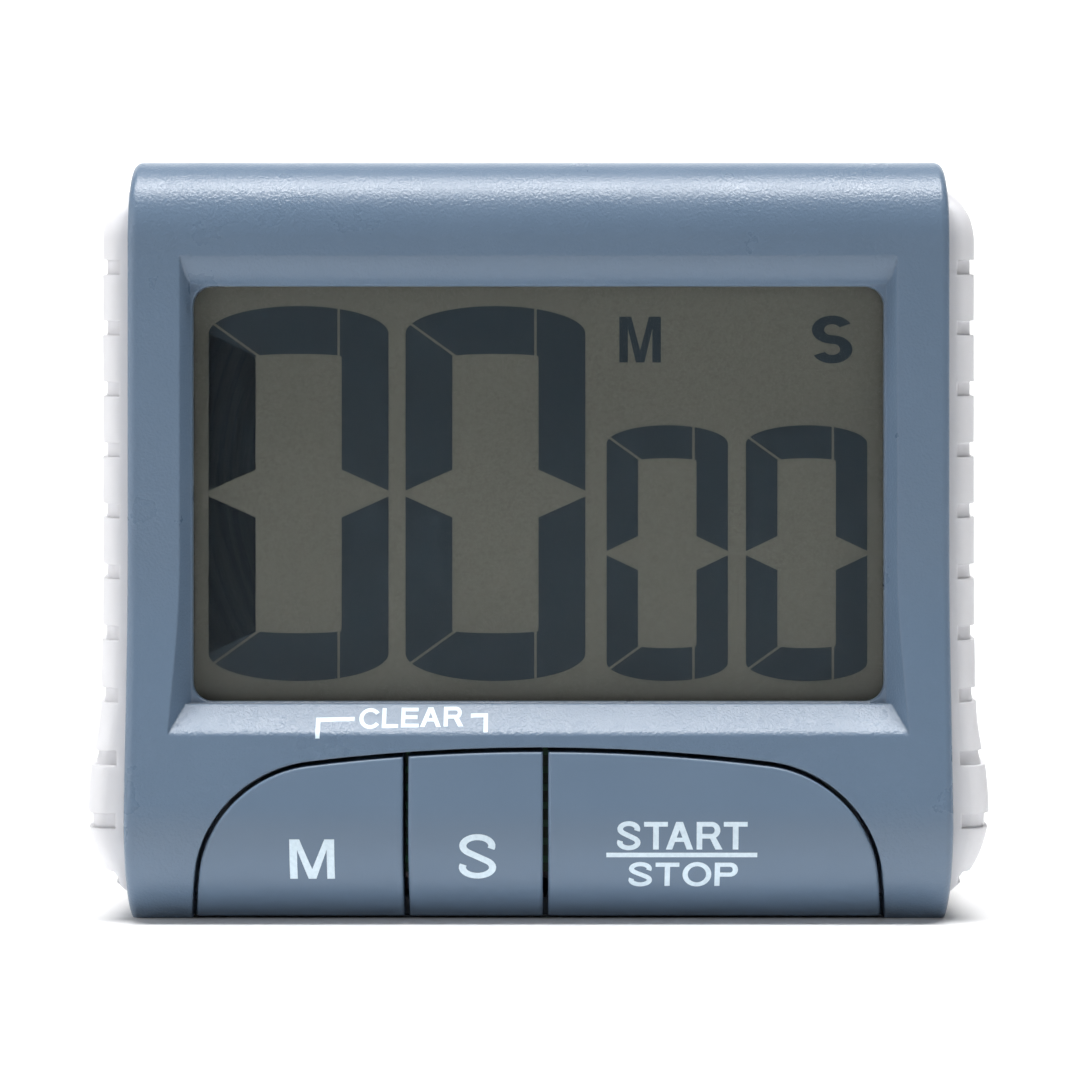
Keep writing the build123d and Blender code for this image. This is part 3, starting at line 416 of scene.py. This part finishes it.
def arc(centre_x, centre_z, radius_x, radius_z, start, end, steps=20):
    """Points on an ellipse from one angle to another, in degrees."""
    points = []
    for step in range(steps + 1):
        angle = math.radians(start + (end - start) * step / steps)
        points.append((centre_x + radius_x * math.cos(angle), centre_z + radius_z * math.sin(angle)))
    return points


def thick_line(points, upright, level):
    """The outline of a line whose stroke is upright wide where it runs up and level thick across."""
    left, right = [], []
    for index, (x, z) in enumerate(points):
        before = points[max(index - 1, 0)]
        after = points[min(index + 1, len(points) - 1)]
        along = Vector((after[0] - before[0], after[1] - before[1])).normalized()
        shift = Vector((-along.y * upright / 2, along.x * level / 2))
        left.append((x + shift.x, z + shift.y))
        right.append((x - shift.x, z - shift.y))
    return left + right[::-1]


def bowl_letter(width, height, upright, level, with_leg):
    """P, or R with its leg: a stem and a round bowl on its upper part."""
    bowl_x = width * (0.91 if with_leg else 1.0)
    bowl_low = 0.40 * height
    radius_z = (height - bowl_low) / 2
    radius_x = radius_z * 1.05
    centre = (bowl_x - radius_x, height - radius_z)
    outer = [(0, 0), (0, height)]
    if with_leg:
        outer += arc(*centre, radius_x, radius_z, 90, -60)
        outer += [(width, 0), (width - 1.25 * upright, 0), (0.52 * width, bowl_low)]
    else:
        outer += arc(*centre, radius_x, radius_z, 90, -90)
    outer += [(upright, bowl_low), (upright, 0)]
    hole = [(upright, height - level)]
    hole += arc(*centre, radius_x - upright, radius_z - level, 90, -90)
    hole += [(upright, bowl_low + level)]
    return [outer, hole]


def letter_a(width, height, upright, level):
    apex = 0.6 * upright
    foot = 1.12 * upright
    lean = (width / 2 - apex) / height
    bar_low = 0.28 * height
    bar_high = bar_low + 0.9 * level
    outer = [
        (0, 0), (width / 2 - apex, height), (width / 2 + apex, height), (width, 0), (width - foot, 0),
        (width - foot - lean * bar_low, bar_low), (foot + lean * bar_low, bar_low), (foot, 0),
    ]
    hole = [
        (foot + lean * bar_high, bar_high), (width - foot - lean * bar_high, bar_high),
        (width / 2, (width / 2 - foot) / lean),
    ]
    return [outer, hole]


def letter_s(width, height, upright, level):
    """Two bowls joined by a slanting spine that touches both."""
    bowl = 0.88 * (height - level) / 4
    reach = (width - upright) / 2
    low = level / 2 + bowl
    high = height - level / 2 - bowl
    line = arc(width / 2, high, reach * 0.96, bowl, -20, 232)
    line += arc(width / 2, low, reach, bowl, 52, -200)
    return [thick_line(line, upright, level)]


def letter_outlines(letter, width, height, upright):
    """The closed outlines of a plain sans-serif capital, outermost first."""
    level = 0.84 * upright
    middle = width / 2
    half = upright / 2
    if letter == "S":
        return letter_s(width, height, upright, level)
    if letter == "A":
        return letter_a(width, height, upright, level)
    if letter in "PR":
        return bowl_letter(width, height, upright, level, letter == "R")
    if letter == "O":
        outer = arc(middle, height / 2, middle, height / 2, 0, 350, 35)
        return [outer, arc(middle, height / 2, middle - upright, height / 2 - level, 0, 350, 35)]
    if letter == "C":
        reach = width * 0.55
        outer = arc(reach, height / 2, reach, height / 2, 35, 325, 30)
        inner = arc(reach, height / 2, reach - upright, height / 2 - level, 325, 35, 30)
        return [outer + inner]
    if letter == "M":
        slant = 1.3 * upright
        elbow = 0.74 * height
        return [[
            (0, 0), (0, height), (slant, height), (middle, 0.25 * height), (width - slant, height),
            (width, height), (width, 0), (width - upright, 0), (width - upright, elbow), (middle + half, 0),
            (middle - half, 0), (upright, elbow), (upright, 0),
        ]]
    if letter == "T":
        under = height - level
        return [[
            (0, height), (width, height), (width, under), (middle + half, under), (middle + half, 0),
            (middle - half, 0), (middle - half, under), (0, under),
        ]]
    if letter == "L":
        return [[(0, 0), (0, height), (upright, height), (upright, level), (width, level), (width, 0)]]
    arm = height / 2 - level / 2 + 0.02 * height
    return [[
        (0, 0), (0, height), (0.97 * width, height), (0.97 * width, height - level),
        (upright, height - level), (upright, arm + level), (0.92 * width, arm + level),
        (0.92 * width, arm), (upright, arm),
        (upright, level), (width, level), (width, 0),
    ]]


def add_outlines(bm, outlines, left, low):
    """Fill closed outlines given in millimetres and lay them in the XZ plane."""
    loops = [[Vector((left + x, low + z, 0)) for x, z in outline] for outline in outlines]
    places = [place for loop in loops for place in loop]
    verts = [bm.verts.new((place.x * MM, 0, place.y * MM)) for place in places]
    for triangle in tessellate_polygon(loops):
        corners = [verts[index] for index in triangle]
        if len(set(corners)) == 3:
            bm.faces.new(corners)


def flat_word(text, span_x, span_z, upright, stretch, tilt=0.0):
    """A word of flat capitals that fills the spans."""
    height = span_z[1] - span_z[0]
    widths = [LETTER_WIDTHS[letter] * height * stretch for letter in text]
    if len(text) == 1:
        widths = [span_x[1] - span_x[0]]
    closer = [CLOSE_PAIRS.get(pair, 0.0) * height for pair in map("".join, zip(text, text[1:]))]
    spare = span_x[1] - span_x[0] - sum(widths) + sum(closer)
    gap = spare / max(len(closer), 1)
    bm = bmesh.new()
    left = span_x[0]
    for index, letter in enumerate(text):
        overshoot = 0.025 * height if letter in "SOC" else 0.0
        outlines = letter_outlines(letter, widths[index], height + 2 * overshoot, upright)
        rise = tilt * (left + widths[index] / 2 - (span_x[0] + span_x[1]) / 2)
        add_outlines(bm, outlines, left, span_z[0] - overshoot + rise)
        left += widths[index] + gap
        if index < len(closer):
            left -= closer[index]
    return bm


def slice_rows(bm, step):
    """Cut the flat mesh into rows, so that it can follow a curved surface."""
    low = min(v.co.z for v in bm.verts)
    high = max(v.co.z for v in bm.verts)
    level = low + step
    while level < high:
        geometry = bm.verts[:] + bm.edges[:] + bm.faces[:]
        bmesh.ops.bisect_plane(bm, geom=geometry, plane_co=(0, 0, level), plane_no=(0, 0, 1), dist=1e-8)
        level += step


def print_on(name, bm, node, material):
    """Wrap the flat mesh onto the node's front and give it the thickness of ink."""
    find = surface_finder(node)
    slice_rows(bm, INK_ROW)
    under = {}
    for vertex in bm.verts:
        point, normal = find(vertex.co.x, vertex.co.z)
        if normal.y > 0:
            normal = -normal
        vertex.co = point + normal * INK_THICKNESS
        under[vertex] = point - normal * 0.2 * INK_THICKNESS
    close_underside(bm, under)
    mesh = bpy.data.meshes.new(name)
    bm.to_mesh(mesh)
    bm.free()
    mesh.materials.append(material)
    piece = bpy.data.objects.new(name, mesh)
    bpy.context.scene.collection.objects.link(piece)
    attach(piece, nodes[node]["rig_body"])


def close_underside(bm, under):
    """Add the underside and the rim, so that the ink is a closed skin."""
    faces = bm.faces[:]
    rim = [edge for edge in bm.edges if len(edge.link_faces) == 1]
    lower = {vertex: bm.verts.new(place) for vertex, place in under.items()}
    for face in faces:
        bm.faces.new([lower[v] for v in reversed(face.verts)])
    for edge in rim:
        first, second = edge.verts
        bm.faces.new([first, second, lower[second], lower[first]])
    bmesh.ops.recalc_face_normals(bm, faces=bm.faces[:])


def bracket(name, corner_x, corner_z, arm, leg, material):
    """One half of the bracket beside CLEAR: a level arm and a leg that hangs from its outer end."""
    level = 0.9 * BRACKET_STROKE
    turn = math.copysign(BRACKET_STROKE, arm)
    rise = arm * CLEAR_TILT
    outline = [
        (0, 0), (arm, rise), (arm, rise - level), (turn, -level), (turn, -leg), (0, -leg),
    ]
    bm = bmesh.new()
    add_outlines(bm, [outline], corner_x, corner_z)
    print_on(name, bm, "front_shell", material)


def make_legends():
    material = ink()
    for name, (text, node, span_x, span_z, upright, stretch) in LEGENDS.items():
        tilt = CLEAR_TILT if text == "CLEAR" else 0.0
        print_on(name, flat_word(text, span_x, span_z, upright, stretch, tilt), node, material)
    (x0, x1), (z0, z1) = LEGEND_BAR
    bar = bmesh.new()
    add_outlines(bar, [[(x0, z0), (x1, z0), (x1, z1), (x0, z1)]], 0, 0)
    print_on("legend_bar", bar, "start_stop_key", material)
    for name, (corner_x, corner_z, arm, leg) in BRACKETS.items():
        bracket(name, corner_x, corner_z, arm, leg, material)


# ---------------------------------------------------------------- rubber domes


def make_dome(key):
    """A silicone dome turned from its section."""
    low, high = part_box(key + "_dome")
    centre_x = (low.x + high.x) / 2
    centre_z = (low.z + high.z) / 2
    bm = bmesh.new()
    rings = []
    for radius, height in DOME_SECTION:
        y = high.y - height * MM
        if radius == 0:
            rings.append([bm.verts.new((centre_x, y, centre_z))])
            continue
        ring = []
        for turn in range(DOME_TURNS):
            angle = 2 * math.pi * turn / DOME_TURNS
            x = centre_x + radius * MM * math.cos(angle)
            z = centre_z + radius * MM * math.sin(angle)
            ring.append(bm.verts.new((x, y, z)))
        rings.append(ring)
    for index, ring in enumerate(rings):
        join_rings(bm, ring, rings[(index + 1) % len(rings)])
    bmesh.ops.recalc_face_normals(bm, faces=bm.faces[:])
    mesh = bpy.data.meshes.new(key + "_dome_skin")
    bm.to_mesh(mesh)
    bm.free()
    for polygon in mesh.polygons:
        polygon.use_smooth = True
    piece = bpy.data.objects.new(key + "_dome_skin", mesh)
    bpy.context.scene.collection.objects.link(piece)
    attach(piece, "case")
    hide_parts(key + "_dome")
    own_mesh(piece)
    return piece


def join_rings(bm, ring, following):
    if len(ring) == 1 and len(following) == 1:
        return
    for turn in range(DOME_TURNS):
        nearby = (turn + 1) % DOME_TURNS
        if len(ring) == 1:
            bm.faces.new([ring[0], following[nearby], following[turn]])
        elif len(following) == 1:
            bm.faces.new([ring[turn], ring[nearby], following[0]])
        else:
            bm.faces.new([ring[turn], ring[nearby], following[nearby], following[turn]])


def make_domes():
    silicone = plastic("dome_silicone", (0.45, 0.46, 0.47), 0.4, 0.6, 0.01, edge_radius=0.0, subsurface=0.3)
    for key in ("m_key", "s_key", "start_stop_key"):
        make_dome(key).data.materials.append(silicone)


# ---------------------------------------------------------------- studio


def make_stage():
    """A white sweep: floor, a wide curve and a wall behind the case."""
    material, tree, shader, coords = start_material("white_sweep")
    shader.inputs["Base Color"].default_value = (0.93, 0.93, 0.93, 1)
    shader.inputs["Roughness"].default_value = 0.9
    shader.inputs["Specular IOR Level"].default_value = 0.1
    profile = [(SWEEP_FRONT_Y, 0.0), (SWEEP_BEND_Y, 0.0)]
    for step in range(1, SWEEP_BEND_STEPS + 1):
        angle = math.radians(90 * step / SWEEP_BEND_STEPS)
        y = SWEEP_BEND_Y + SWEEP_BEND_RADIUS * math.sin(angle)
        profile.append((y, SWEEP_BEND_RADIUS - SWEEP_BEND_RADIUS * math.cos(angle)))
    profile.append((SWEEP_BEND_Y + SWEEP_BEND_RADIUS, SWEEP_TOP_Z))
    bm = bmesh.new()
    left = [bm.verts.new((-SWEEP_HALF_WIDTH, y, z)) for y, z in profile]
    right = [bm.verts.new((SWEEP_HALF_WIDTH, y, z)) for y, z in profile]
    for index in range(len(profile) - 1):
        bm.faces.new([left[index], right[index], right[index + 1], left[index + 1]])
    mesh = bpy.data.meshes.new("sweep")
    bm.to_mesh(mesh)
    bm.free()
    for polygon in mesh.polygons:
        polygon.use_smooth = True
    mesh.materials.append(material)
    sweep = bpy.data.objects.new("sweep", mesh)
    bpy.context.scene.collection.objects.link(sweep)


def area_light(name, place, aim, width, depth, power, spread):
    data = bpy.data.lights.new(name, "AREA")
    data.shape = "RECTANGLE"
    data.size = width
    data.size_y = depth
    data.energy = power
    data.spread = math.radians(spread)
    light = bpy.data.objects.new(name, data)
    light.location = place
    light.rotation_euler = (Vector(aim) - Vector(place)).to_track_quat("-Z", "Y").to_euler()
    bpy.context.scene.collection.objects.link(light)


def make_lights():
    for name, settings in LIGHTS.items():
        area_light(name, *settings)
    world = bpy.data.worlds.new("studio")
    world.use_nodes = True
    world.node_tree.nodes["Background"].inputs["Color"].default_value = (1, 1, 1, 1)
    world.node_tree.nodes["Background"].inputs["Strength"].default_value = AMBIENT_STRENGTH
    bpy.context.scene.world = world
    bpy.context.scene.view_settings.view_transform = "Standard"


make_camera()
paint_nodes()
make_legends()
make_domes()
make_stage()
make_lights()
